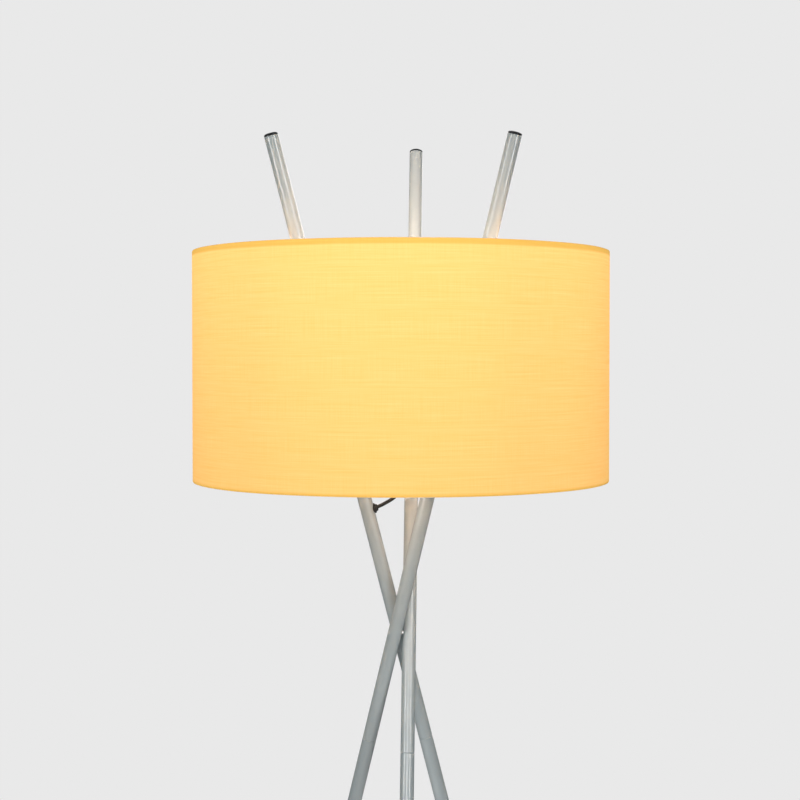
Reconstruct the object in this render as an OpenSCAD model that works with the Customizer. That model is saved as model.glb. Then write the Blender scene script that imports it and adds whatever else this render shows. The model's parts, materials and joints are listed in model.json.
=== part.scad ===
// Tripod floor lamp with three crossed tube legs and a drum shade.
// Millimetres, +Z up, the feet stand on z = 0.

/* [Legs] */
// Outer diameter of the leg tubes
tube_d = 15; // [12:0.5:20]
// Wall of the leg tubes
tube_wall = 1; // [0.8:0.1:1.4]
// Lean of each leg from the vertical, in degrees
tilt = 15.65; // [12:0.05:18]
// Gap between two tubes where they pass each other
cross_gap = 0.9; // [0.6:0.1:3]
// Length of a leg from the crossing to its top end
leg_above = 552; // [460:1:662]
// Further reach of the front leg's top end
top_front = 3.5; // [-10:0.5:10]
// Further reach of the right leg's top end
top_right = -5.5; // [-10:0.5:10]
// Further reach of the left leg's top end
top_left = -8.5; // [-10:0.5:10]
// Length of the upper tube of a leg, without the further reach of its top end
upper_len = 683; // [600:1:760]
// Further reach of the front leg's upper tube below the crossing
seam_front = 4; // [0:0.5:8]
// Length of the middle tube and of the lower tube of a leg
section_len = 455; // [380:1:546]
// Bevel on the ends of the tubes
end_bevel = 0.6; // [0.2:0.1:0.8]

/* [Feet and plugs] */
// Rubber between the end of a tube and the floor
sole = 4; // [2:0.5:8]
// Wall of the rubber foot around the tube
foot_wall = 2; // [1.5:0.5:4]
// Length of tube that a rubber foot covers
foot_grip = 20; // [12:1:30]
// Thickness of the top plug's cap
plug_cap = 2.8; // [1:0.1:4]

/* [Head] */
// Place of the bracket's arms, along the leg from the crossing
bracket_at = 164; // [150:1:200]
// Diameter of the bracket's arms
arm_d = 9; // [8:0.5:12]
// Diameter of the bracket's hub
hub_d = 34; // [30:1:44]
// Height of the bracket's hub
hub_h = 9; // [9:0.5:14]
// Shank diameter of the bracket screws
screw_d = 4; // [3:0.5:5]
// Outer diameter of the lampholder
holder_d = 38; // [36:0.5:42]

/* [Shade] */
// Outer diameter of the shade
shade_d = 450; // [375:1:540]
// Height of the shade
shade_h = 246.7; // [205:0.1:297]
// Height of the shade's lower edge above the crossing
shade_lift = 160.4; // [150:1:175]
// Thickness of the shade's fabric
fabric_t = 0.5; // [0.3:0.1:1]
// Thickness of the stiff liner behind the fabric
liner_t = 0.5; // [0.4:0.1:1]
// Diameter of the shade's ring wires
wire_d = 3.5; // [2.5:0.5:5]
// Width of the fabric turned in at the top edge
top_hem_w = 8; // [6:1:14]
// Width of the fabric turned in at the bottom edge
bottom_hem_w = 5; // [4:1:14]

/* [Bulb] */
// Diameter of the bulb's globe
globe_d = 60; // [50:1:66]
// Whole length of the bulb
bulb_len = 108; // [95:1:118]

/* [Cord and foot switch] */
// Diameter of the flex
cord_d = 4; // [3.5:0.1:4.4]
// Height of the flex hole at the top, along the leg from the crossing
entry_at = 133; // [130:1:140]
// Height of the flex hole at the foot, along the leg from its lower end
exit_up = 45; // [40:1:60]
// Length of the foot switch
switch_len = 76; // [70:1:90]
// Width of the foot switch
switch_w = 34; // [32:1:40]
// Height of the foot switch's case
switch_h = 20; // [19:0.5:24]
// Wall of the foot switch's case
case_wall = 2; // [1.5:0.1:2.5]
// Diameter of the foot switch's button
button_d = 24; // [20:0.5:25]
// Travel of the foot switch's button
travel = 2.5; // [1.5:0.5:3]
// Turns beside each other in the coil, two layers high
coil_turns = 4; // [3:1:4]
// Diameter of a plug pin
pin_d = 4; // [4:0.1:4.8]
// Length of a plug pin
pin_len = 19; // [17:0.5:19]
// Distance between the plug pins
pin_pitch = 18.6; // [17.5:0.1:19]

/* [Hidden] */
$fn = 64;
fit = 0.05;
play = 0.3;
LEGS = [0, 1, 2];
FRONT = 0;
RIGHT = 1;
LEFT = 2;

tube_r = tube_d / 2;
bore_r = tube_r - tube_wall;
cord_r = cord_d / 2;
shade_r = shade_d / 2;
wire_r = wire_d / 2;

// Two legs whose axes pass a distance cross_r from the lamp's axis stay this far apart.
pass_factor = sqrt(3) * cos(tilt) / sqrt(pow(cos(tilt), 2) + pow(sin(tilt), 2) / 4);
cross_r = (tube_d + cross_gap) / pass_factor;
// The nearest points of two legs lie this far along them from the crossing.
near_at = cross_r * sin(120) * sin(tilt) / (1 + pow(cos(tilt), 2) - pow(sin(tilt), 2) / 2);

LEG_TOPS = [leg_above + top_front, leg_above + top_right, leg_above + top_left];
joint_1 = leg_above - upper_len;
UPPER_JOINTS = [joint_1 - seam_front, joint_1, joint_1];
joint_2 = joint_1 - section_len;
leg_end = joint_2 - section_len;
cross_z = -leg_end * cos(tilt) + tube_r * sin(tilt) + sole;
foot_r = tube_r + foot_wall;
foot_reach = -leg_end * sin(tilt);

// The lamp's axis, set so that the origin is under the middle of the whole lamp.
axis_x = cross_r / 2;
axis_y = (foot_reach + foot_r - shade_r) / 2;

// Crossing spacers: the pair of legs and the height along them.
spacer_d = 5;
SPACERS = [[LEFT, FRONT, -6], [FRONT, RIGHT, 1], [RIGHT, LEFT, 8]];

// Section joints: a bush in each tube end and a hollow threaded nipple between them.
bush_len = 20;
nipple_d = 10;
nipple_bore = 7;
nipple_grip = 16;

// Bracket
bracket_z = cross_z + bracket_at * cos(tilt) + bracket_at * pow(sin(tilt), 2) * cos(tilt);
arm_reach = norm([cross_r, bracket_at * sin(tilt) * cos(tilt)]);
screw_bite = 11;
head_d = 7.6;
head_h = 2.2;
nut_af = 14;
nut_h = 4;
nipple_stub = 3;

// Lampholder, measured up from its seat on the upper lock nut
holder_z = bracket_z + hub_h / 2 + nut_h;
holder_wall = 2;
collar_d = 18;
collar_h = 7;
dome_h = 16;
cap_h = collar_h + dome_h;
seat_d = holder_d + 8;
seat_h = 2;
holder_h = 58;
core_h = 14;
core_z = cap_h - 4;
shell_wall = 0.8;
bulb_cap_d = 26;
screw_shell_d = bulb_cap_d + 2 * play + 2 * shell_wall;
tongue_t = 0.6;
tongue_lift = 4;
ring_wall = 6;
ring_h = 8;

// Shade
shade_z = cross_z + shade_lift;
shade_top = shade_z + shade_h;
hem_t = 0.4;
liner_r = shade_r - fabric_t;
ring_r = liner_r - liner_t - wire_r - fit;
hub_plate_t = 1.6;
arm_wire_r = 0.85 * wire_r;
fitter_z = holder_z + cap_h + seat_h;
fitter_hole = holder_d + 1;
fitter_d = seat_d + 10;
arm_start = seat_d / 2 + 1.5;
ring_z = shade_z + wire_r + fit;
arm_turn = atan2(bracket_at * sin(tilt), cross_r) + 60;

// Bulb, measured up from its contact
bulb_z = holder_z + core_z + core_h + tongue_lift;
contact_h = 1.5;
insulator_h = 4;
cap_len = 24;
housing_d = 46;
housing_top = 62;
globe_cut = bulb_len - globe_d / 2;

// Foot switch, plug and the places where they lie, from the lamp's axis
switch_at = [-30, 20];
boot_len = 20;
boot_d = 7.4;
switch_axis_z = 8.5;
base_h = switch_axis_z;
button_top = switch_h + travel + 0.5;
flange_t = 1.6;
flange_lip = 1.6;
spring_d = 8;
spring_wire = 0.8;
spring_turns = 5;
case_screw_d = 3;
case_screw_in = [11, 7];
SCREW_PLACES = [
    for (x = [-1, 1], y = [-1, 1])
        [x * (switch_len / 2 - case_screw_in[0]), y * (switch_w / 2 - case_screw_in[1])]
];
plug_at = [12, -78];
plug_len = 35;
plug_w = 26;
plug_tail = 12;
plug_t = 13.7;
plug_boot = 24;
coil_at = [-80, -50];
coil_r = 5.5 * cord_d;
coil_w = coil_turns * cord_d;
coil_t = 2 * cord_d;
tie_t = 0.6;
tie_w = 8;
exit_boot = 26;

// Grommet and boot in the leg's wall, and the bend of the flex behind them
grommet_neck_r = cord_r + 1.5;
grommet_r = cord_r + 3.5;
grommet_out = 4;
bend_r = bore_r - 1;

// Where the flex leaves the boot at the foot, from the lamp's axis
exit_at = leg_end + exit_up;
exit_out = tube_r + exit_boot;

// Routes of the free flex, from the lamp's axis. Heights of HOLDER_ROUTE are from the crossing.
HOLDER_ROUTE = [
    [0, 0, 155.5], [-0.9, -0.3, 151], [-3, -0.9, 146.3], [-6.5, -1.9, 142],
    [-11, -3.2, 138.6], [-16, -4.7, 135.8], [-20.5, -6, 133.4]
];
SWITCH_ROUTE = [
    [184, 115, 34], [168, 105, 27.5], [152, 95, 19], [136, 85, 10.5], [120, 74, 4.8],
    [103, 62, 2.4], [86, 51, 2], [69, 40, 2.1], [55, 31, 3.6], [41, 23.5, 6.6]
];
COIL_ROUTE = [
    [-95, 18.8, 7], [-101.6, 14.6, 5], [-106.4, 7.6, 3.4], [-108, 0, 2.7],
    [-108, -12, 2.6], [-108, -24, 2.6], [-108, -38, 2.6]
];
PLUG_ROUTE = [
    [-68, -78, 6], [-58, -78, 4.6], [-48, -78, 3.4], [-38, -78, 3.2], [-27, -78, 4.6]
];

// ---- vectors and swept tubes ----

function unit(v) = v / norm(v);

// A point of the leg's own frame, in the frame of the lamp's axis
function leg_point(leg, at, out, turn) = let (
    x = cross_r + out * cos(turn),
    y = out * sin(turn) * cos(tilt) + at * sin(tilt),
    z = at * cos(tilt) - out * sin(turn) * sin(tilt),
    a = 120 * leg
) [x * cos(a) - y * sin(a), x * sin(a) + y * cos(a), cross_z + z];

// The turn about a leg that faces the lamp's axis, at a distance along the leg from the crossing
function inward(at) = atan2(-at * sin(tilt) * cos(tilt), -cross_r);

function blend_point(a, b, c, d, t) =
    (2 * b + (c - a) * t + (2 * a - 5 * b + 4 * c - d) * t * t + (3 * b - a - 3 * c + d) * t * t * t) / 2;

// The route with steps points between each two of its own
function smooth(p, steps) = [
    for (i = [0:len(p) - 2])
        for (k = [0:steps - 1])
            blend_point(p[max(i - 1, 0)], p[i], p[i + 1], p[min(i + 2, len(p) - 1)], k / steps),
    p[len(p) - 1]
];

function ring_points(centre, along, side, r, n) = let (
    u = unit(cross(along, side)),
    v = cross(along, u)
) [for (j = [0:n - 1]) centre + r * (cos(360 * j / n) * u + sin(360 * j / n) * v)];

// A round tube along the points p. side is a direction that the route never runs along.
module sweep(p, r, side, n) {
    last = len(p) - 1;
    points = [
        for (i = [0:last])
            each ring_points(p[i], unit(p[min(i + 1, last)] - p[max(i - 1, 0)]), side, r, n)
    ];
    walls = [
        for (i = [0:last - 1])
            for (j = [0:n - 1])
                let (k = (j + 1) % n, low = i * n, high = low + n)
                    each [[low + j, high + j, high + k], [low + j, high + k, low + k]]
    ];
    caps = [[for (j = [0:n - 1]) j], [for (j = [n - 1:-1:0]) last * n + j]];
    polyhedron(points, concat(walls, caps));
}

// ---- frames ----

// From the lamp's axis to the lamp's own frame
module on_axis(z = 0) {
    translate([axis_x, axis_y, z]) children();
}

// The frame of a leg: z runs up the tube from the crossing, x points away from the lamp's axis.
module on_leg(leg) {
    on_axis(cross_z)
        rotate([0, 0, 120 * leg])
            translate([cross_r, 0, 0])
                rotate([-tilt, 0, 0])
                    children();
}

// A spot on a leg whose z points from the tube's axis to the lamp's axis
module facing_in(leg, at) {
    on_leg(leg)
        translate([0, 0, at])
            rotate([0, 0, inward(at)])
                rotate([0, 90, 0])
                    children();
}

// ---- shared shapes ----

module pipe(r, bore, h) {
    difference() {
        cylinder(r = r, h = h);
        translate([0, 0, -1]) cylinder(r = bore, h = h + 2);
    }
}

module leg_solid(leg) {
    on_leg(leg)
        translate([0, 0, leg_end])
            cylinder(r = tube_r, h = leg_above - leg_end);
}

module leg_tube(leg, from, to) {
    on_leg(leg)
        rotate_extrude()
            polygon([
                [bore_r, from], [tube_r - end_bevel, from], [tube_r, from + end_bevel],
                [tube_r, to - end_bevel], [tube_r - end_bevel, to], [bore_r, to]
            ]);
}

module stadium(length, width) {
    square([length - width, width], center = true);
    for (side = [-1, 1])
        translate([side * (length - width) / 2, 0])
            circle(d = width);
}

// ---- legs ----

module upper_tube(leg) {
    color("slategray")
        difference() {
            leg_tube(leg, UPPER_JOINTS[leg], LEG_TOPS[leg]);
            facing_in(leg, bracket_at)
                translate([0, 0, -tube_d])
                    cylinder(d = screw_d + play, h = 2 * tube_d);
            if (leg == RIGHT)
                facing_in(leg, entry_at) cylinder(r = grommet_neck_r + fit, h = tube_d);
        }
}

module middle_tube(leg) {
    color("slategray") leg_tube(leg, joint_2, UPPER_JOINTS[leg]);
}

module lower_tube(leg) {
    color("slategray")
        difference() {
            leg_tube(leg, leg_end, joint_2);
            if (leg == RIGHT)
                facing_in(leg, exit_at) cylinder(r = grommet_neck_r + fit, h = tube_d);
        }
}

module section_bushes() {
    color("silver")
        for (leg = LEGS)
            for (at = [UPPER_JOINTS[leg], joint_2])
                for (from = [at, at - bush_len])
                    on_leg(leg)
                        translate([0, 0, from])
                            pipe(bore_r - fit, nipple_d / 2 + fit, bush_len);
}

module section_nipples() {
    color("darkgray")
        for (leg = LEGS)
            for (at = [UPPER_JOINTS[leg], joint_2])
                on_leg(leg)
                    translate([0, 0, at - nipple_grip])
                        pipe(nipple_d / 2, nipple_bore / 2, 2 * nipple_grip);
}

// A spacer is a short round bar between two tubes, hollowed at its ends to seat on them.
module crossing_spacers() {
    color("slategray")
        for (s = SPACERS) {
            from = leg_point(s[0], s[2] + near_at, 0, 0);
            to = leg_point(s[1], s[2] - near_at, 0, 0);
            way = to - from;
            difference() {
                translate(from + [axis_x, axis_y, 0])
                    rotate([0, acos(way[2] / norm(way)), atan2(way[1], way[0])])
                        cylinder(d = spacer_d, h = norm(way));
                leg_solid(s[0]);
                leg_solid(s[1]);
            }
        }
}

module top_plugs() {
    stem = 12;
    color("black")
        for (leg = LEGS)
            on_leg(leg)
                translate([0, 0, LEG_TOPS[leg]])
                    rotate_extrude()
                        polygon([
                            [0, -stem], [bore_r - 1, -stem], [bore_r - fit, 1 - stem],
                            [bore_r - fit, 0], [tube_r, 0], [tube_r, plug_cap / 3],
                            [tube_r * 0.85, plug_cap * 0.7], [tube_r * 0.55, plug_cap * 0.93],
                            [0, plug_cap]
                        ]);
}

// A rubber cup around the end of a tube, cut level where it stands on the floor.
module foot(leg) {
    color("black")
        difference() {
            on_leg(leg)
                translate([0, 0, leg_end - 2 * foot_r])
                    cylinder(r = foot_r, h = foot_grip + 2 * foot_r);
            on_leg(leg)
                translate([0, 0, leg_end])
                    cylinder(r = tube_r + fit, h = foot_grip + 1);
            translate([-shade_d, -shade_d, -shade_d])
                cube([2 * shade_d, 2 * shade_d, shade_d]);
        }
}

// ---- head ----

module head_bracket() {
    color("dimgray")
        difference() {
            union() {
                on_axis(bracket_z - hub_h / 2) cylinder(d = hub_d, h = hub_h);
                for (leg = LEGS)
                    facing_in(leg, bracket_at) cylinder(d = arm_d, h = arm_reach);
            }
            on_axis(bracket_z - hub_h) cylinder(r = nipple_d / 2 + fit, h = 2 * hub_h);
            for (z = [bracket_z - 2 * hub_h - hub_h / 2, bracket_z + hub_h / 2])
                on_axis(z) cylinder(d = nut_af / cos(30) + 1, h = 2 * hub_h);
            for (leg = LEGS) {
                leg_solid(leg);
                facing_in(leg, bracket_at)
                    cylinder(r = screw_d / 2 + fit, h = tube_r + screw_bite + 1);
            }
        }
}

module bracket_screws() {
    color("silver")
        for (leg = LEGS)
            facing_in(leg, bracket_at) {
                translate([0, 0, -tube_r]) cylinder(d = screw_d, h = tube_d + screw_bite);
                difference() {
                    translate([0, 0, -tube_r - head_h]) cylinder(d = head_d, h = head_h);
                    translate([0, 0, -tube_r - head_h - 1])
                        cylinder(d = screw_d / 2, h = head_h, $fn = 6);
                }
            }
}

module holder_nipple() {
    low = bracket_z - hub_h / 2 - nut_h - nipple_stub;
    color("gold")
        on_axis(low) pipe(nipple_d / 2, nipple_bore / 2, holder_z + collar_h + 4 - low);
}

module lock_nuts() {
    color("gold")
        for (z = [bracket_z - hub_h / 2 - nut_h, bracket_z + hub_h / 2])
            on_axis(z)
                difference() {
                    cylinder(d = nut_af / cos(30), h = nut_h, $fn = 6);
                    translate([0, 0, -1]) cylinder(r = nipple_d / 2 + fit, h = nut_h + 2);
                }
}

module holder_cap() {
    r = holder_d / 2;
    color("black")
        on_axis(holder_z)
            rotate_extrude()
                polygon([
                    [nipple_d / 2 + fit, 0], [collar_d / 2, 0], [collar_d / 2, collar_h - 2],
                    [r * 0.7, collar_h + 1], [r * 0.88, collar_h + 5], [r, collar_h + 12], [r, cap_h],
                    [r - holder_wall, cap_h], [r - holder_wall, collar_h + 12],
                    [r * 0.88 - holder_wall, collar_h + 6.4], [r * 0.62, collar_h + 3],
                    [nipple_d / 2 + fit, collar_h + 3]
                ]);
}

module holder_shell() {
    r = holder_d / 2;
    color("black")
        on_axis(holder_z + cap_h)
            rotate_extrude()
                polygon([
                    [r - holder_wall, 0], [seat_d / 2, 0], [seat_d / 2, seat_h], [r, seat_h],
                    [r, holder_h - cap_h - 1], [r - 1, holder_h - cap_h],
                    [screw_shell_d / 2 + 1, holder_h - cap_h],
                    [screw_shell_d / 2 + 1, holder_h - cap_h - 2],
                    [r - holder_wall, holder_h - cap_h - 2]
                ]);
}

module holder_core() {
    color("ivory")
        on_axis(holder_z + core_z)
            difference() {
                cylinder(r = holder_d / 2 - holder_wall - play, h = core_h);
                for (side = [-1, 1])
                    translate([side * 9, 0, -1]) cylinder(d = 3 + 2 * fit, h = 7);
                translate([-3.2, -7.2, core_h - 1]) cube([6.4, 14.4, 2]);
            }
}

module screw_shell() {
    color("gold")
        on_axis(holder_z + core_z + core_h)
            pipe(screw_shell_d / 2, screw_shell_d / 2 - shell_wall, holder_h - core_z - core_h - 2.5);
}

// A strip that rises from the core and presses on the bulb's contact
module centre_contact() {
    low = core_h - 1;
    high = core_h + tongue_lift;
    color("gold")
        on_axis(holder_z + core_z)
            translate([3, 0, 0])
                rotate([90, 0, -90])
                    linear_extrude(6)
                        polygon([
                            [-7, low], [-3, low], [1, high - tongue_t], [4, high - tongue_t],
                            [4, high], [0.6, high], [-3.4, low + tongue_t], [-7, low + tongue_t]
                        ]);
}

module terminal_screws() {
    color("gold")
        on_axis(holder_z + core_z)
            for (side = [-1, 1])
                translate([side * 9, 0, 0]) {
                    cylinder(d = 3, h = 5);
                    translate([0, 0, -1.6]) cylinder(d = 5.4, h = 1.6);
                }
}

// ---- shade ----

// The screwed ring that holds the shade on the lampholder, with grip notches
module shade_ring() {
    r = holder_d / 2 + ring_wall;
    color("black")
        on_axis(fitter_z + hub_plate_t)
            difference() {
                cylinder(r = r, h = ring_h);
                translate([0, 0, -1]) cylinder(r = holder_d / 2 + fit, h = ring_h + 2);
                for (a = [0:30:330])
                    rotate([0, 0, a])
                        translate([r + 1, 0, 2])
                            cylinder(d = 5, h = ring_h);
            }
}

module ring_wire(z) {
    on_axis(z) rotate_extrude() translate([ring_r, 0]) circle(r = wire_r);
}

// The three arms from the plate on the lampholder down to the lower ring
module fitter_arms(r) {
    high = fitter_z + hub_plate_t - wire_r - fit;
    run = ring_r - arm_start;
    drop = high - ring_z;
    for (leg = LEGS)
        on_axis(high)
            rotate([0, 0, arm_turn + 120 * leg])
                translate([arm_start, 0, 0])
                    rotate([0, 90 + atan2(drop, run), 0])
                        cylinder(r = r, h = norm([run, drop]));
}

// The lower ring of the shade, its three arms and the plate that sits on the lampholder
module shade_fitter() {
    color("whitesmoke") {
        difference() {
            on_axis(fitter_z) cylinder(d = fitter_d, h = hub_plate_t);
            on_axis(fitter_z - 5) cylinder(d = fitter_hole, h = 10);
        }
        fitter_arms(arm_wire_r);
        ring_wire(ring_z);
    }
}

module top_ring() {
    color("whitesmoke") ring_wire(shade_top - wire_r - fit);
}

module shade_liner() {
    color("white") on_axis(shade_z) pipe(liner_r, liner_r - liner_t, shade_h);
}

module shade_fabric() {
    color("orange") on_axis(shade_z) pipe(shade_r, liner_r, shade_h);
}

// Fabric turned over an edge of the shade and round its ring. up is 1 at the top edge, -1 at the bottom.
module hem(edge_z, up, width) {
    inner = ring_r - wire_r - fit - hem_t;
    color("darkorange")
        on_axis(edge_z)
            mirror([0, 0, up > 0 ? 0 : 1])
                rotate_extrude()
                    polygon([
                        [inner, hem_t], [inner, -width], [inner + hem_t, -width],
                        [inner + hem_t, 0], [shade_r, 0], [shade_r, hem_t]
                    ]);
}

module top_hem() {
    hem(shade_top, 1, top_hem_w);
}

// The turned-in fabric is notched where the arms reach the ring.
module bottom_hem() {
    difference() {
        hem(shade_z, -1, bottom_hem_w);
        fitter_arms(arm_wire_r + play);
    }
}

// ---- bulb ----

module bulb_globe() {
    color("white")
        on_axis(bulb_z)
            rotate_extrude()
                intersection() {
                    difference() {
                        union() {
                            translate([0, globe_cut]) circle(d = globe_d);
                            polygon([
                                [0, housing_top], [housing_d / 2, housing_top],
                                [globe_d / 2, globe_cut], [0, globe_cut]
                            ]);
                        }
                        translate([0, globe_cut]) circle(d = globe_d - 3);
                    }
                    translate([0, housing_top]) square([globe_d, bulb_len]);
                }
}

module bulb_housing() {
    low = contact_h + insulator_h + cap_len;
    r = bulb_cap_d / 2;
    color("whitesmoke")
        on_axis(bulb_z)
            rotate_extrude()
                polygon([
                    [0, low], [r + 1, low], [r + 2.5, low + 4], [housing_d / 2 - 3, housing_top - 12],
                    [housing_d / 2, housing_top - 2], [housing_d / 2, housing_top], [0, housing_top]
                ]);
}

module bulb_cap() {
    color("silver")
        on_axis(bulb_z + contact_h + insulator_h) cylinder(d = bulb_cap_d, h = cap_len);
}

module bulb_insulator() {
    color("black")
        on_axis(bulb_z + contact_h) cylinder(r1 = 6, r2 = bulb_cap_d / 2 - 1, h = insulator_h);
}

module bulb_contact() {
    color("silver")
        on_axis(bulb_z) cylinder(r1 = 3.6, r2 = 4.6, h = contact_h);
}

// ---- flex through the leg ----

// A round bar along the leg, in the frame of a hole in its wall
module across_leg(r) {
    rotate([0, 90, 0])
        translate([0, 0, -tube_d])
            cylinder(r = r, h = 2 * tube_d);
}

module flex_grommet() {
    color("black")
        facing_in(RIGHT, entry_at)
            difference() {
                union() {
                    cylinder(r = grommet_neck_r, h = tube_r);
                    difference() {
                        rotate_extrude()
                            polygon([
                                [0, 0], [grommet_r, 0], [grommet_r, tube_r + 1.4],
                                [grommet_neck_r + 0.6, tube_r + 2.2],
                                [grommet_neck_r, tube_r + grommet_out], [0, tube_r + grommet_out]
                            ]);
                        across_leg(tube_r);
                    }
                }
                cylinder(r = cord_r + fit, h = tube_d + grommet_out);
                across_leg(bore_r - 1);
            }
}

// The flex bends into the leg at the grommet and out of it at the foot.
module leg_flex() {
    bend = [for (a = [0:22.5:90]) a];
    top_turn = inward(entry_at);
    low_turn = inward(exit_at);
    route = concat(
        [leg_point(RIGHT, entry_at, tube_r + grommet_out, top_turn)],
        [for (a = bend) leg_point(RIGHT, entry_at + bend_r * (cos(a) - 1), bend_r * (1 - sin(a)), top_turn)],
        [leg_point(RIGHT, 0, 0, 0), leg_point(RIGHT, joint_1, 0, 0), leg_point(RIGHT, joint_2, 0, 0)],
        [for (a = bend) leg_point(RIGHT, exit_at + bend_r * (1 - sin(a)), bend_r * (1 - cos(a)), low_turn)],
        [leg_point(RIGHT, exit_at, tube_r + 1.5, low_turn)]
    );
    color("black") on_axis() sweep(route, cord_r, [sin(120), cos(120), 0], 12);
}

// A tapered boot from the leg's wall to the free flex
module exit_boot() {
    color("black")
        facing_in(RIGHT, exit_at)
            difference() {
                union() {
                    cylinder(r = grommet_neck_r, h = tube_r);
                    difference() {
                        rotate_extrude()
                            polygon([
                                [0, 0], [grommet_r, 0], [grommet_r, tube_r + 2],
                                [grommet_neck_r + 0.5, tube_r + 3],
                                [cord_r + 0.8, exit_out], [0, exit_out]
                            ]);
                        across_leg(tube_r);
                    }
                }
                cylinder(r = cord_r + fit, h = tube_r + 1.5);
                across_leg(bore_r - 1);
            }
}

// ---- free flex ----

module holder_flex() {
    start = bracket_z - hub_h / 2 - nut_h - nipple_stub;
    grommet_face = leg_point(RIGHT, entry_at, tube_r + grommet_out, inward(entry_at));
    route = concat(
        [[0, 0, start]],
        [for (p = HOLDER_ROUTE) p + [0, 0, cross_z]],
        [grommet_face]
    );
    color("black") on_axis() sweep(smooth(route, 2), cord_r, [-0.27, 0.96, 0], 12);
}

module flex_to_switch() {
    boot_end = leg_point(RIGHT, exit_at, exit_out, inward(exit_at));
    case_end = [switch_at[0] + switch_len / 2 + boot_len, switch_at[1], switch_axis_z];
    color("black")
        on_axis() sweep(smooth(concat([boot_end], SWITCH_ROUTE, [case_end]), 2), cord_r, [0, 0, 1], 8);
}

module flex_to_coil() {
    case_end = [switch_at[0] - switch_len / 2 - boot_len, switch_at[1], switch_axis_z];
    color("black") on_axis() sweep(smooth(concat([case_end], COIL_ROUTE), 2), cord_r, [0, 0, 1], 8);
}

module flex_to_plug() {
    tail = [plug_at[0] - plug_boot, plug_at[1], plug_t / 2];
    color("black") on_axis() sweep(smooth(concat(PLUG_ROUTE, [tail]), 2), cord_r, [0, 0, 1], 8);
}

module cord_coil() {
    color("black")
        on_axis(tie_t)
            translate([coil_at[0], coil_at[1], 0])
                pipe(coil_r + coil_w / 2, coil_r - coil_w / 2, coil_t);
}

// A flat band round the turns of the coil
module cord_tie() {
    outer = coil_r + coil_w / 2 + fit;
    inner = coil_r - coil_w / 2 - fit;
    color("black")
        on_axis()
            translate([coil_at[0], coil_at[1], 0])
                intersection() {
                    difference() {
                        pipe(outer + tie_t, inner - tie_t, coil_t + 2 * tie_t);
                        translate([0, 0, tie_t - fit]) pipe(outer, inner, coil_t + 2 * fit);
                    }
                    translate([0, -tie_w / 2, -1]) cube([2 * outer, tie_w, 2 * coil_t]);
                }
}

// ---- foot switch ----

module at_switch() {
    on_axis() translate([switch_at[0], switch_at[1], 0]) children();
}

module boot_holes() {
    for (side = [-1, 1])
        translate([side * (switch_len / 2 - case_wall - 1), 0, switch_axis_z])
            rotate([0, side * 90, 0])
                cylinder(r = cord_r + 1.2 + fit, h = case_wall + 2);
}

module switch_base() {
    color("black")
        at_switch()
            difference() {
                union() {
                    linear_extrude(case_wall) stadium(switch_len, switch_w);
                    linear_extrude(base_h)
                        difference() {
                            stadium(switch_len, switch_w);
                            stadium(switch_len - 2 * case_wall, switch_w - 2 * case_wall);
                        }
                    for (p = SCREW_PLACES)
                        translate([p[0], p[1], 0]) cylinder(d = case_screw_d + 4, h = base_h);
                    cylinder(d = spring_d - 2 * spring_wire - 1, h = case_wall + 3);
                }
                for (p = SCREW_PLACES) {
                    translate([p[0], p[1], -1]) cylinder(d = case_screw_d + play, h = base_h + 2);
                    translate([p[0], p[1], -1]) cylinder(d = 2 * case_screw_d, h = 3);
                }
                boot_holes();
            }
}

module switch_cover() {
    edge = 3;
    inner_h = switch_h - base_h - case_wall;
    color("black")
        at_switch()
            difference() {
                translate([0, 0, base_h])
                    hull() {
                        linear_extrude(switch_h - base_h - edge) stadium(switch_len, switch_w);
                        linear_extrude(switch_h - base_h - edge * 0.4)
                            stadium(switch_len - edge * 0.6, switch_w - edge * 0.6);
                        linear_extrude(switch_h - base_h)
                            stadium(switch_len - 2 * edge, switch_w - 2 * edge);
                    }
                difference() {
                    translate([0, 0, base_h - 1])
                        linear_extrude(inner_h + 1)
                            stadium(switch_len - 2 * case_wall - 1, switch_w - 2 * case_wall - 1);
                    for (p = SCREW_PLACES)
                        translate([p[0], p[1], 0]) cylinder(d = case_screw_d + 4, h = switch_h);
                }
                for (p = SCREW_PLACES)
                    translate([p[0], p[1], 0]) cylinder(r = case_screw_d / 2 + fit, h = base_h + 7);
                translate([0, 0, base_h]) cylinder(r = button_d / 2 + play, h = switch_h);
                boot_holes();
            }
}

module switch_button() {
    stop_z = switch_h - case_wall - play;
    color("gray")
        at_switch()
            rotate_extrude()
                polygon([
                    [0, stop_z - flange_t], [button_d / 2 + flange_lip, stop_z - flange_t],
                    [button_d / 2 + flange_lip, stop_z], [button_d / 2, stop_z],
                    [button_d / 2, button_top - 1], [button_d / 2 - 1, button_top - 0.3],
                    [button_d / 2 - 3, button_top - 0.3], [0, button_top]
                ]);
}

module switch_spring() {
    low = case_wall + spring_wire / 2;
    high = switch_h - case_wall - play - flange_t - spring_wire / 2;
    r = (spring_d - spring_wire) / 2;
    steps = 10;
    color("silver")
        at_switch()
            sweep([
                for (i = [0:steps * spring_turns])
                    let (a = 360 * i / steps, z = low + (high - low) * i / (steps * spring_turns))
                        [r * cos(a), r * sin(a), z]
            ], spring_wire / 2, [0, 0, 1], 6);
}

module switch_contacts() {
    color("gold")
        at_switch()
            for (side = [-1, 1])
                translate([side * 14 - 5, -3, case_wall]) cube([10, 6, 1]);
}

module switch_screws() {
    color("silver")
        at_switch()
            for (p = SCREW_PLACES)
                translate([p[0], p[1], 0.4]) {
                    cylinder(d = 2 * case_screw_d - 2 * play, h = 1.6);
                    cylinder(d = case_screw_d, h = base_h + 5);
                }
}

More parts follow.
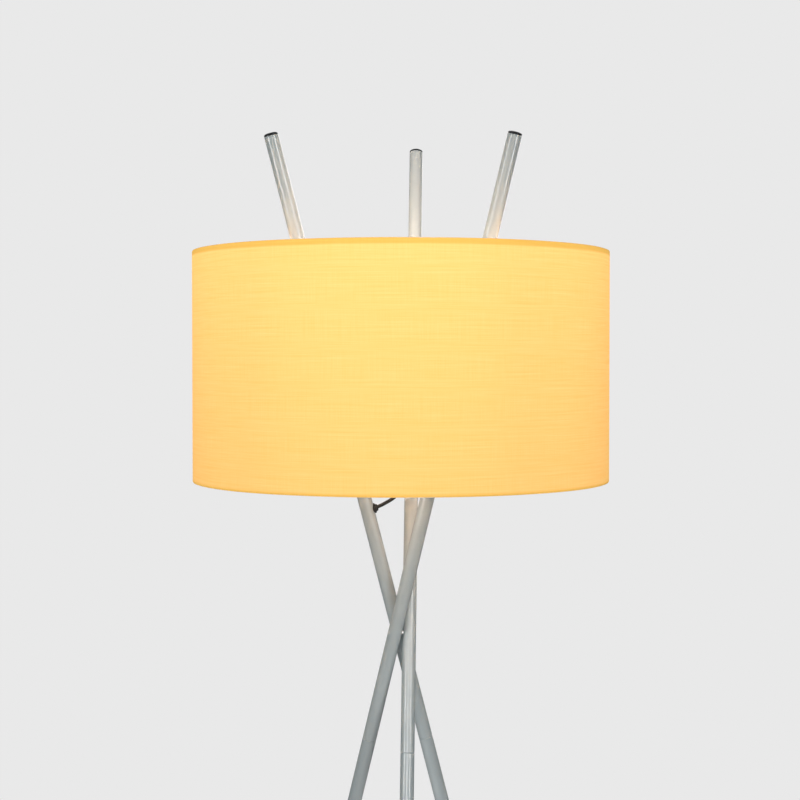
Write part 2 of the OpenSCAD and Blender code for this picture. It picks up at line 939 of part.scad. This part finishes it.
module switch_boots() {
    wall_in = case_wall - 0.5;
    color("black")
        at_switch()
            for (side = [-1, 1])
                translate([side * switch_len / 2, 0, switch_axis_z])
                    rotate([0, side * 90, 0])
                        rotate_extrude()
                            polygon([
                                [0, -wall_in], [cord_r + 1.2, -wall_in], [cord_r + 1.2, 0],
                                [boot_d / 2, 0], [boot_d / 2, 3], [cord_r + 0.7, boot_len], [0, boot_len]
                            ]);
}

// ---- plug ----

module at_plug() {
    on_axis() translate([plug_at[0], plug_at[1], plug_t / 2]) children();
}

// A flat body, narrow at the flex and wide at the pins, with rounded long edges
module plug_body() {
    waist_x = plug_len * 0.5;
    color("black")
        at_plug()
            intersection() {
                translate([0, 0, -plug_t / 2])
                    linear_extrude(plug_t)
                        polygon([
                            [0, -plug_tail / 2], [waist_x, -plug_w / 2], [plug_len, -plug_w / 2],
                            [plug_len, plug_w / 2], [waist_x, plug_w / 2], [0, plug_tail / 2]
                        ]);
                rotate([90, 0, 90]) linear_extrude(plug_len) stadium(plug_w, plug_t);
            }
}

module plug_pins() {
    color("silver")
        at_plug()
            for (side = [-1, 1])
                translate([plug_len, side * pin_pitch / 2, 0])
                    rotate([0, 90, 0]) {
                        cylinder(d = pin_d, h = pin_len - 1);
                        translate([0, 0, pin_len - 1])
                            cylinder(r1 = pin_d / 2, r2 = pin_d / 2 - 1, h = 1);
                    }
}

module plug_boot() {
    color("black")
        at_plug()
            translate([-plug_boot, 0, 0])
                rotate([0, 90, 0])
                    cylinder(r1 = cord_r + 0.7, r2 = 4.6, h = plug_boot);
}

// ---- nodes ----

upper_tube(FRONT);  // upper_tube_front
upper_tube(RIGHT);  // upper_tube_right
upper_tube(LEFT);  // upper_tube_left
middle_tube(FRONT);  // middle_tube_front
middle_tube(RIGHT);  // middle_tube_right
middle_tube(LEFT);  // middle_tube_left
lower_tube(FRONT);  // lower_tube_front
lower_tube(RIGHT);  // lower_tube_right
lower_tube(LEFT);  // lower_tube_left
section_bushes();
section_nipples();
crossing_spacers();
top_plugs();
foot(FRONT);  // foot_front
foot(RIGHT);  // foot_right
foot(LEFT);  // foot_left
head_bracket();
bracket_screws();
holder_nipple();
lock_nuts();
holder_cap();
holder_shell();
holder_core();
screw_shell();
centre_contact();
terminal_screws();
shade_ring();
shade_fitter();
top_ring();
shade_liner();
shade_fabric();
top_hem();
bottom_hem();
bulb_globe();
bulb_housing();
bulb_cap();
bulb_insulator();
bulb_contact();
flex_grommet();
holder_flex();
leg_flex();
exit_boot();
flex_to_switch();
flex_to_coil();
cord_coil();
cord_tie();
flex_to_plug();
switch_base();
switch_cover();
switch_button();
switch_spring();
switch_contacts();
switch_screws();
switch_boots();
plug_body();
plug_pins();
plug_boot();
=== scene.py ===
"""Looks of the tripod floor lamp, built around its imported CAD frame. Metres, +Z up."""
import json
import math

import bmesh
import bpy
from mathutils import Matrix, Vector


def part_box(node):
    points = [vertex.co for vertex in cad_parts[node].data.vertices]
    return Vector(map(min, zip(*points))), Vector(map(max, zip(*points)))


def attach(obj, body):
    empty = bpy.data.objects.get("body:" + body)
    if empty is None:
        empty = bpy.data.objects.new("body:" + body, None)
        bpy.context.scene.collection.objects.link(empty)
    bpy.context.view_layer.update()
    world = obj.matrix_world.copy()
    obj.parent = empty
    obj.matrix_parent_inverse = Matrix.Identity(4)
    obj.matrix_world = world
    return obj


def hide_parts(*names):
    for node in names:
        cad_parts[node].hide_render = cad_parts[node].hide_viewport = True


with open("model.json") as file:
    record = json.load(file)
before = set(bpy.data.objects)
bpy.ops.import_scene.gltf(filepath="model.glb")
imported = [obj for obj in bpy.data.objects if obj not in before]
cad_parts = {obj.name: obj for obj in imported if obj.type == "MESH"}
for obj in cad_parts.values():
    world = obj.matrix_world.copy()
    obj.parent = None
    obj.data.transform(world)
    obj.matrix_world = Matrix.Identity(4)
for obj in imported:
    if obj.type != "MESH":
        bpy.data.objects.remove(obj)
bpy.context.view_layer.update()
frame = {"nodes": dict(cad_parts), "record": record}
NODES = frame["nodes"]
scene = bpy.context.scene

# ---- places, from the frame ----

low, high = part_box("holder_nipple")
AXIS = Vector(((low[0] + high[0]) / 2, (low[1] + high[1]) / 2, 0))
low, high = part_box("shade_fabric")
SHADE_R = (high[0] - low[0]) / 2
SHADE_LOW, SHADE_HIGH = low[2], high[2]
CLOTH_ABOVE_CROSSING = 0.1604  # the cloth's lower edge
CROSSING_Z = SHADE_LOW - CLOTH_ABOVE_CROSSING
low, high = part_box("bulb_globe")
GLOBE_R = 0.030
BULB_Z = high[2] - GLOBE_R
CORD_D = 0.004
HEM_TOP, HEM_LOW = 0.008, 0.005  # how far the cloth is turned in at each edge


def mm(*values):
    return Vector(values) * 0.001


# ---- camera ----

CAMERA_TURN = math.radians(3.38)
CAMERA_AWAY = 1.7457
CAMERA_ASIDE = -0.0009
CAMERA_ABOVE_CROSSING = 0.2918
CAMERA_DOWN = math.radians(1.458)
LENS_MM = 72.23
SENSOR_MM = 36


def make_camera():
    data = bpy.data.cameras.new("camera")
    data.sensor_width = SENSOR_MM
    data.lens = LENS_MM
    camera = bpy.data.objects.new("camera", data)
    scene.collection.objects.link(camera)
    across, along = math.cos(CAMERA_TURN), math.sin(CAMERA_TURN)
    camera.location = AXIS + Vector((
        CAMERA_AWAY * along + CAMERA_ASIDE * across,
        CAMERA_ASIDE * along - CAMERA_AWAY * across,
        CROSSING_Z + CAMERA_ABOVE_CROSSING,
    ))
    camera.rotation_euler = (math.pi / 2 - CAMERA_DOWN, 0, CAMERA_TURN)
    scene.camera = camera


make_camera()

# ---- cords ----


def smooth(points, steps):
    """A Catmull-Rom line through the points."""
    line = []
    last = len(points) - 1
    for i in range(last):
        a, b, c, d = (points[max(0, min(last, j))] for j in (i - 1, i, i + 1, i + 2))
        for k in range(steps):
            t = k / steps
            line.append((2 * b + (c - a) * t + (2 * a - 5 * b + 4 * c - d) * t * t
                         + (3 * b - a - 3 * c + d) * t ** 3) / 2)
    return line + [points[last]]


def make_cord(name, line, diameter):
    data = bpy.data.curves.new(name, "CURVE")
    data.dimensions = "3D"
    data.bevel_depth = diameter / 2
    data.bevel_resolution = 4
    data.use_fill_caps = True
    spline = data.splines.new("POLY")
    spline.points.add(len(line) - 1)
    for point, place in zip(spline.points, line):
        point.co = (*place, 1)
    curve = bpy.data.objects.new(name, data)
    tube = bpy.data.meshes.new_from_object(curve)
    bpy.data.objects.remove(curve)
    tube.shade_smooth()
    cord = bpy.data.objects.new(name, tube)
    scene.collection.objects.link(cord)
    return cord


# Routes in millimetres from the lamp's axis. The holder's starts at the crossing's height,
# the others at the floor's.
HOLDER_ROUTE = [
    (0, 0, 155.5), (-0.9, -0.3, 151), (-3, -0.9, 146.3), (-6.5, -1.9, 142),
    (-11, -3.2, 138.6), (-16, -4.7, 135.8), (-20.5, -6, 133.4),
]
SWITCH_ROUTE = [
    (184, 115, 34), (168, 105, 27.5), (152, 95, 19), (136, 85, 10.5), (120, 74, 4.8),
    (103, 62, 2.4), (86, 51, 2), (69, 40, 2.1), (55, 31, 3.6), (41, 23.5, 6.6),
]
COIL_ROUTE = [
    (-95, 18.8, 7), (-101.6, 14.6, 5), (-106.4, 7.6, 3.4), (-108, 0, 2.7),
    (-108, -12, 2.6), (-108, -24, 2.6), (-108, -36, 2.6), (-108, -46, 2.6),
]
PLUG_ROUTE = [
    (-68, -78, 6), (-58, -78, 4.6), (-48, -78, 3.4), (-38, -78, 3.2), (-27, -78, 4.6),
]
GROMMET_INSET = mm(1.0, 1.6, 2.2)  # from the low corner of the flex's box to its end in the leg
BOOT_INSET = mm(-0.6, -1.1, -2.0)  # from the high corner of the flex's box to its start
COIL_RADII = (28, 24, 20, 16, 16, 20, 24, 28, 28)
COIL_TURNS = 8.25
COIL_LOW, COIL_HIGH = 2.6, 6.6  # the heights of the lower and the upper layer
CLIMB_AT, CLIMB_TURNS = 3.7, 0.3  # where the cord goes up to the upper layer
SHIFT_AT, SHIFT_TURNS = 0.7, 0.3  # where in each turn it goes over to the next radius


def ease(t):
    t = max(0.0, min(1.0, t))
    return t * t * (3 - 2 * t)


def coil_points(centre, steps=48):
    """Four turns inwards on the floor, four outwards on top of them, a quarter turn to leave."""
    points = []
    last = len(COIL_RADII) - 1
    for i in range(1, int(COIL_TURNS * steps) + 1):
        turn, part = divmod(i / steps, 1)
        turn = int(turn)
        here, after = COIL_RADII[turn], COIL_RADII[min(turn + 1, last)]
        r = here + (after - here) * ease((part - SHIFT_AT) / SHIFT_TURNS)
        climb = ease((i / steps - CLIMB_AT) / CLIMB_TURNS)
        z = COIL_LOW + (COIL_HIGH - COIL_LOW) * climb
        a = math.pi + 2 * math.pi * part
        points.append(Vector((centre[0] + r * math.cos(a), centre[1] + r * math.sin(a), z)))
    return points


def centre_of(node):
    a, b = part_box(node)
    return Vector([(x + y) / 2 for x, y in zip(a, b)])


def to_place(points, z=0.0):
    return [AXIS + mm(*p) + Vector((0, 0, z)) for p in points]


def make_holder_flex():
    """The flex from the lampholder's nipple to the grommet in the leg."""
    start = Vector((AXIS.x, AXIS.y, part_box("holder_nipple")[0][2]))
    grommet = Vector(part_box("holder_flex")[0]) + GROMMET_INSET
    line = smooth([start] + to_place(HOLDER_ROUTE, CROSSING_Z) + [grommet], 6)
    cord = make_cord("holder_cord", line, CORD_D)
    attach(cord, "stand")
    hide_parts("holder_flex")
    return cord


def make_mains_lead():
    """The free flex: out of the leg's boot, through the foot switch and the coil, to the plug."""
    start = Vector(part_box("flex_to_switch")[1]) + BOOT_INSET
    coil = centre_of("cord_coil") - AXIS
    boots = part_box("switch_boots")
    middle = centre_of("switch_boots")
    switch_in = Vector((boots[1][0], middle.y, middle.z))
    switch_out = Vector((boots[0][0], middle.y, middle.z))
    tail = centre_of("plug_boot")
    tail.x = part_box("plug_boot")[0][0]
    line = smooth([start] + to_place(SWITCH_ROUTE), 4) + [switch_in]
    line += smooth([switch_out] + to_place(COIL_ROUTE), 4)
    line += to_place(coil_points(coil * 1000))
    line += smooth(to_place(PLUG_ROUTE) + [tail], 4)
    cord = make_cord("mains_lead", line, CORD_D)
    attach(cord, "stand")
    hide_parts("flex_to_switch", "flex_to_coil", "cord_coil", "flex_to_plug")
    return cord


holder_cord = make_holder_flex()
mains_lead = make_mains_lead()

# ---- materials ----


class Shader:
    """A material's node tree with short ways to add nodes."""

    def __init__(self, name):
        self.material = bpy.data.materials.new(name)
        self.material.use_nodes = True
        self.tree = self.material.node_tree
        self.bsdf = self.tree.nodes["Principled BSDF"]

    def node(self, kind, **values):
        node = self.tree.nodes.new(kind)
        for key, value in values.items():
            setattr(node, key, value)
        return node

    def link(self, source, target):
        self.tree.links.new(source, target)

    def place(self, uv=False):
        node = self.node("ShaderNodeTexCoord")
        return node.outputs["UV" if uv else "Object"]

    def stretched(self, place, scale):
        node = self.node("ShaderNodeMapping")
        node.inputs["Scale"].default_value = scale
        self.link(place, node.inputs["Vector"])
        return node.outputs["Vector"]

    def noise(self, place, scale, detail=3.0, roughness=0.5):
        node = self.node("ShaderNodeTexNoise")
        node.inputs["Scale"].default_value = scale
        node.inputs["Detail"].default_value = detail
        node.inputs["Roughness"].default_value = roughness
        self.link(place, node.inputs["Vector"])
        return node.outputs["Fac"]

    def ramp(self, value, low, high, from_low=0.0, from_high=1.0):
        node = self.node("ShaderNodeMapRange")
        node.inputs["From Min"].default_value = from_low
        node.inputs["From Max"].default_value = from_high
        node.inputs["To Min"].default_value = low
        node.inputs["To Max"].default_value = high
        self.link(value, node.inputs["Value"])
        return node.outputs["Result"]

    def mix(self, value, a, b):
        node = self.node("ShaderNodeMix", data_type="RGBA")
        self.link(value, node.inputs["Factor"])
        for socket, colour in ((node.inputs[6], a), (node.inputs[7], b)):
            if isinstance(colour, tuple):
                socket.default_value = (*colour, 1)
            else:
                self.link(colour, socket)
        return node.outputs[2]

    def maths(self, operation, a, b):
        node = self.node("ShaderNodeMath", operation=operation)
        for socket, value in zip(node.inputs, (a, b)):
            if isinstance(value, (int, float)):
                socket.default_value = value
            else:
                self.link(value, socket)
        return node.outputs[0]

    def bump(self, height, strength, distance):
        node = self.node("ShaderNodeBump")
        node.inputs["Strength"].default_value = strength
        node.inputs["Distance"].default_value = distance
        self.link(height, node.inputs["Height"])
        self.link(node.outputs["Normal"], self.bsdf.inputs["Normal"])

    def set(self, **values):
        for key, value in values.items():
            self.bsdf.inputs[key.replace("_", " ")].default_value = value


def grained(name, dark, light, rough=(0.3, 0.5), grain=400, grain_bump=0.15, depth=0.0001,
            blotch=25, metallic=0.0, stretch=(1, 1, 1), **values):
    """A surface with a fine grain in its height and roughness and slow changes in its colour."""
    s = Shader(name)
    place = s.stretched(s.place(), stretch)
    fine = s.noise(place, grain, 2)
    slow = s.noise(place, blotch, 4, 0.6)
    both = s.maths("ADD", s.maths("MULTIPLY", slow, 0.7), s.maths("MULTIPLY", fine, 0.3))
    s.link(s.mix(s.ramp(both, 0, 1, 0.3, 0.7), dark, light), s.bsdf.inputs["Base Color"])
    s.link(s.ramp(both, rough[0], rough[1], 0.3, 0.7), s.bsdf.inputs["Roughness"])
    s.bump(fine, grain_bump, depth)
    s.set(Metallic=metallic, **values)
    return s.material


def make_powder_coat():
    return grained("powder_coat_paint", (0.36, 0.41, 0.42), (0.41, 0.465, 0.475),
                   rough=(0.5, 0.6), grain=1500, grain_bump=0.1, depth=0.00006, blotch=18,
                   Coat_Weight=1.0, Coat_IOR=1.8, Coat_Roughness=0.15)


def make_cloth_material():
    """A plain slub weave. The bulb's light through the cloth is painted in as emission: a painted
    glow, brighter towards the top and dimmer in bands at both edges.
    """
    s = Shader("cloth_weave_with_painted_glow")
    uv = s.place(uv=True)
    warp = s.noise(s.stretched(uv, (1700, 26, 1)), 1, 3, 0.6)
    weft = s.noise(s.stretched(uv, (22, 1500, 1)), 1, 3, 0.6)
    slub = s.noise(s.stretched(uv, (7, 420, 1)), 1, 4, 0.65)
    threads = s.maths("ADD", s.maths("MULTIPLY", warp, 0.4), s.maths("MULTIPLY", weft, 0.6))
    mixed = s.maths("ADD", s.maths("MULTIPLY", threads, 0.65), s.maths("MULTIPLY", slub, 0.35))
    share = s.ramp(mixed, 0, 1, 0.32, 0.68)
    # Painted glow: the emission colour stands in for the bulb's light passing through the cloth,
    # and it follows the weave.
    glow = s.mix(share, (0.52, 0.275, 0.068), (0.58, 0.325, 0.105))
    s.link(glow, s.bsdf.inputs["Emission Color"])
    parts = s.node("ShaderNodeSeparateXYZ")
    s.link(s.place(), parts.inputs[0])
    height = parts.outputs[2]
    # Painted light: the glow's strength rises from 0.80 at the cloth's lower edge to 1.18 at its
    # top.
    rise = s.ramp(height, 0.80, 1.18, SHADE_LOW, SHADE_HIGH)
    # Painted shade: in a band at each edge, where the cloth is turned in over the ring, the glow
    # drops to half.
    top_band = s.ramp(height, 1.0, 0.5, SHADE_HIGH - 0.0064, SHADE_HIGH - 0.0048)
    low_band = s.ramp(height, 0.5, 1.0, SHADE_LOW + 0.001, SHADE_LOW + 0.0035)
    bands = s.maths("MULTIPLY", top_band, low_band)
    s.link(s.maths("MULTIPLY", rise, bands), s.bsdf.inputs["Emission Strength"])
    plain = s.mix(share, (0.88, 0.49, 0.12), (1.0, 0.59, 0.22))
    # Painted shade: in those edge bands the cloth's base colour is less blue than the plain cloth.
    turned = s.mix(share, (0.90, 0.52, 0.075), (1.0, 0.60, 0.12))
    s.link(s.mix(s.ramp(bands, 0, 1, 0.5, 1.0), turned, plain), s.bsdf.inputs["Base Color"])
    s.set(Roughness=0.9, Specular_IOR_Level=0.08)
    s.bump(threads, 0.25, 0.0003)
    return s.material


def make_opal():
    s = Shader("opal_glow")
    soft = s.noise(s.place(), 30, 3)
    s.link(s.mix(soft, (0.95, 0.90, 0.80), (1.0, 0.96, 0.88)), s.bsdf.inputs["Base Color"])
    s.bsdf.inputs["Emission Color"].default_value = (1.0, 0.80, 0.50, 1)
    s.bsdf.inputs["Emission Strength"].default_value = 6.0
    s.set(Roughness=0.4)
    return s.material


def threaded(name, dark, light, pitch):
    """Metal with a screw thread that climbs its side."""
    s = Shader(name)
    place = s.place()
    parts = s.node("ShaderNodeSeparateXYZ")
    s.link(place, parts.inputs[0])
    wave = s.maths("SINE", s.maths("MULTIPLY", parts.outputs[2], 2 * math.pi / pitch), 0)
    fine = s.noise(place, 700, 3)
    s.link(s.mix(fine, dark, light), s.bsdf.inputs["Base Color"])
    s.link(s.ramp(fine, 0.22, 0.4), s.bsdf.inputs["Roughness"])
    s.bump(wave, 0.9, pitch * 0.22)
    s.set(Metallic=1.0)
    return s.material


BLACK = ((0.004, 0.004, 0.0045), (0.009, 0.009, 0.0095))
MATERIALS = {
    "powder_coat": make_powder_coat(),
    "black_coat": grained("black_paint", (0.02, 0.02, 0.021), (0.035, 0.035, 0.036),
                          rough=(0.35, 0.5), grain=900),
    "white_coat": grained("white_paint", (0.72, 0.71, 0.68), (0.80, 0.79, 0.76),
                          rough=(0.25, 0.4), grain=900, grain_bump=0.08),
    "bright_steel": grained("zinc_steel", (0.50, 0.50, 0.50), (0.68, 0.68, 0.69),
                            rough=(0.2, 0.4), grain=1200, metallic=1.0),
    "spring_steel": grained("spring_wire", (0.35, 0.35, 0.36), (0.5, 0.5, 0.51),
                            rough=(0.2, 0.35), metallic=1.0),
    "brass": threaded("brass_thread", (0.66, 0.47, 0.19), (0.83, 0.64, 0.31), 0.001),
    "black_plastic": grained("moulded_black", *BLACK, rough=(0.28, 0.4), grain=1400,
                             grain_bump=0.1),
    "button_plastic": grained("button_grey", (0.045, 0.046, 0.048), (0.065, 0.066, 0.068),
                              rough=(0.45, 0.6), grain=1600, grain_bump=0.3),
    "foot_rubber": grained("rubber_foot", (0.012, 0.012, 0.012), (0.03, 0.03, 0.029),
                           rough=(0.6, 0.8), grain=900, grain_bump=0.35),
    "boot_rubber": grained("rubber_boot", (0.008, 0.008, 0.008), (0.018, 0.018, 0.018),
                           rough=(0.45, 0.65), grain=1300, grain_bump=0.25),
    "flex_sheath": grained("pvc_sheath", *BLACK, rough=(0.32, 0.48), grain=1100,
                           grain_bump=0.2),
    "core_ceramic": grained("glazed_core", (0.78, 0.75, 0.68), (0.86, 0.84, 0.79),
                            rough=(0.15, 0.3)),
    "shade_fabric": make_cloth_material(),
    "shade_liner": grained("liner_sheet", (0.86, 0.83, 0.76), (0.92, 0.90, 0.84),
                           rough=(0.45, 0.6), grain=500),
    "bulb_globe": make_opal(),
    "bulb_housing": grained("white_housing", (0.80, 0.80, 0.78), (0.88, 0.88, 0.86),
                            rough=(0.3, 0.4)),
    "bulb_cap": threaded("rolled_cap", (0.66, 0.66, 0.65), (0.82, 0.82, 0.81), 0.0036),
}


def dress(obj, material):
    obj.data.materials.clear()
    obj.data.materials.append(material)


for row in frame["record"]["subparts"]:
    dress(NODES[row["node"]], MATERIALS[row["material_slot"]])
for cord in (holder_cord, mains_lead):
    dress(cord, MATERIALS["flex_sheath"])

# ---- shade cloth ----

RING_IN = 0.0045  # from the cloth's outside to the inside of its turned-in edges
CLOTH_T = 0.00045
THREAD_SHARE = 0.9  # how much of its thickness the modelled sheet fills
OVERLAP = 0.012
OVERLAP_LIFT = 0.0006
LIFT_TURN = 0.03
SEAM_TURN = math.radians(80)
HEM_BEND = 0.0012
EDGE_PLAY = 0.0001
HEM_STEP = 0.002
CLOTH_ROWS, CLOTH_COLUMNS = 40, 360
QUARTER = (0, math.pi / 4, math.pi / 2)


def cloth_outline():
    """The cloth's line from its turned-in top edge, down the outside and in at the bottom."""
    out, inside = SHADE_R - CLOTH_T / 2, SHADE_R - RING_IN
    top, bottom = SHADE_HIGH + EDGE_PLAY, SHADE_LOW - EDGE_PLAY
    bend, rows = HEM_BEND, CLOTH_ROWS
    line = [(inside, top - HEM_TOP + HEM_STEP * k) for k in range(4)]
    line += [(inside + bend - bend * math.cos(a), top - bend + bend * math.sin(a))
             for a in QUARTER]
    line += [(out - bend + bend * math.sin(a), top - bend + bend * math.cos(a))
             for a in QUARTER]
    line += [(out, top - bend - (top - bottom - 2 * bend) * k / rows) for k in range(1, rows)]
    line += [(out - bend + bend * math.cos(a), bottom + bend - bend * math.sin(a))
             for a in QUARTER]
    line += [(inside + bend - bend * math.sin(a), bottom + bend - bend * math.cos(a))
             for a in QUARTER]
    return line + [(inside, bottom + HEM_LOW)]


def ripple(a):
    """How far the cloth stands off a true circle at this angle."""
    return 0.00012 * math.sin(5 * a) + 0.00008 * math.sin(11 * a + 1)


def make_cloth():
    """One sheet wound once round the drum, its last centimetre lying over its start at the back."""
    outline = cloth_outline()
    columns = CLOTH_COLUMNS
    whole = 2 * math.pi + OVERLAP / SHADE_R
    mesh = bmesh.new()
    uv = mesh.loops.layers.uv.new("cloth")
    run = [0.0]
    for a, b in zip(outline, outline[1:]):
        run.append(run[-1] + math.dist(a, b))
    grid = []
    for i in range(columns + 1):
        turn = whole * i / columns
        lift = OVERLAP_LIFT * ease((turn - 2 * math.pi + LIFT_TURN) / LIFT_TURN)
        a = SEAM_TURN + turn
        column = []
        for r, z in outline:
            outside = r > SHADE_R - 0.002
            reach = r + (lift if outside else -lift) + ripple(a)
            column.append(mesh.verts.new((AXIS.x + reach * math.cos(a),
                                          AXIS.y + reach * math.sin(a), z)))
        grid.append(column)
    for i in range(columns):
        for j in range(len(outline) - 1):
            corners = ((i, j), (i + 1, j), (i + 1, j + 1), (i, j + 1))
            face = mesh.faces.new([grid[c][k] for c, k in corners])
            face.smooth = True
            for loop, (c, k) in zip(face.loops, corners):
                loop[uv].uv = (whole * c / columns * SHADE_R, run[k])
    mesh.normal_update()
    data = bpy.data.meshes.new("shade_cloth")
    mesh.to_mesh(data)
    mesh.free()
    cloth = bpy.data.objects.new("shade_cloth", data)
    scene.collection.objects.link(cloth)
    solid = cloth.modifiers.new("thickness", "SOLIDIFY")
    solid.thickness = CLOTH_T * THREAD_SHARE
    solid.offset = 0
    dress(cloth, MATERIALS["shade_fabric"])
    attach(cloth, "stand")
    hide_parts("shade_fabric", "top_hem", "bottom_hem")
    return cloth


make_cloth()

# ---- light and floor ----


def area_light(name, place, target, size, power):
    """A lamp the camera doesn't see, with its place and target given from the lamp's axis."""
    data = bpy.data.lights.new(name, "AREA")
    data.shape = "RECTANGLE"
    data.size, data.size_y = size
    data.energy = power
    lamp = bpy.data.objects.new(name, data)
    scene.collection.objects.link(lamp)
    lamp.location = AXIS + Vector(place)
    aim = AXIS + Vector(target) - lamp.location
    lamp.rotation_euler = aim.to_track_quat("-Z", "Y").to_euler()
    lamp.visible_camera = False
    return lamp


def make_bulb_light():
    """The lit bulb. Its own globe and housing throw no shadow of it."""
    data = bpy.data.lights.new("bulb_light", "POINT")
    data.energy = 4.2
    data.color = (1.0, 0.73, 0.58)
    data.shadow_soft_size = 0.028
    lamp = bpy.data.objects.new("bulb_light", data)
    scene.collection.objects.link(lamp)
    lamp.location = AXIS + Vector((0, 0, BULB_Z))
    for node in ("bulb_globe", "bulb_housing"):
        NODES[node].visible_shadow = False


def make_world():
    """A plain pale backdrop, and a softer grey light that fades below the horizon."""
    world = bpy.data.worlds.new("studio")
    scene.world = world
    world.use_nodes = True
    nodes, links = world.node_tree.nodes, world.node_tree.links
    nodes.clear()
    out = nodes.new("ShaderNodeOutputWorld")
    mix = nodes.new("ShaderNodeMixShader")
    path = nodes.new("ShaderNodeLightPath")
    seen, lit = nodes.new("ShaderNodeBackground"), nodes.new("ShaderNodeBackground")
    seen.inputs["Color"].default_value = (0.8148, 0.8148, 0.8148, 1)
    lit.inputs["Color"].default_value = (0.20, 0.205, 0.21, 1)
    place = nodes.new("ShaderNodeTexCoord")
    parts = nodes.new("ShaderNodeSeparateXYZ")
    upward = nodes.new("ShaderNodeMapRange")
    upward.inputs["From Min"].default_value = -0.25
    upward.inputs["From Max"].default_value = 0.2
    upward.inputs["To Min"].default_value = 0.05
    links.new(place.outputs["Generated"], parts.inputs[0])
    links.new(parts.outputs[2], upward.inputs["Value"])
    links.new(upward.outputs["Result"], lit.inputs["Strength"])
    links.new(path.outputs["Is Camera Ray"], mix.inputs[0])
    links.new(lit.outputs[0], mix.inputs[1])
    links.new(seen.outputs[0], mix.inputs[2])
    links.new(mix.outputs[0], out.inputs[0])


def make_floor():
    """A pale disc that fades out into the backdrop."""
    data = bpy.data.meshes.new("floor")
    mesh = bmesh.new()
    bmesh.ops.create_circle(mesh, cap_ends=True, radius=2.1, segments=96)
    mesh.to_mesh(data)
    mesh.free()
    floor = bpy.data.objects.new("floor", data)
    scene.collection.objects.link(floor)
    floor.location = AXIS
    s = Shader("floor_paint")
    soft = s.noise(s.place(), 3, 3)
    s.link(s.mix(soft, (0.80, 0.80, 0.795), (0.83, 0.83, 0.825)), s.bsdf.inputs["Base Color"])
    reach = s.node("ShaderNodeVectorMath", operation="LENGTH")
    s.link(s.place(), reach.inputs[0])
    s.link(s.ramp(reach.outputs["Value"], 1.0, 0.0, 0.9, 2.0), s.bsdf.inputs["Alpha"])
    s.set(Roughness=0.7)
    dress(floor, s.material)
    return floor


def light_floor(floor):
    """An overhead box that lights the floor alone."""
    lamp = area_light("overhead_box", (0, 0, 3.2), (0, 0, 0), (3.0, 3.0), 52)
    only = bpy.data.collections.new("floor_only")
    only.objects.link(floor)
    lamp.light_linking.receiver_collection = only


area_light("left_strip", (-1.65, -1.455, 1.75), (0, 0, 1.55), (0.2, 2.0), 20)
area_light("right_strip", (1.593, -1.517, 1.75), (0, 0, 1.55), (0.2, 2.0), 20)
area_light("front_box", (0, -3.2, 1.9), (0, 0, 1.2), (0.9, 0.9), 16)
area_light("back_box", (0.4, 2.6, 2.2), (0, 0, 1.0), (1.6, 1.6), 16)
make_bulb_light()
make_world()
light_floor(make_floor())
scene.view_settings.view_transform = "Standard"
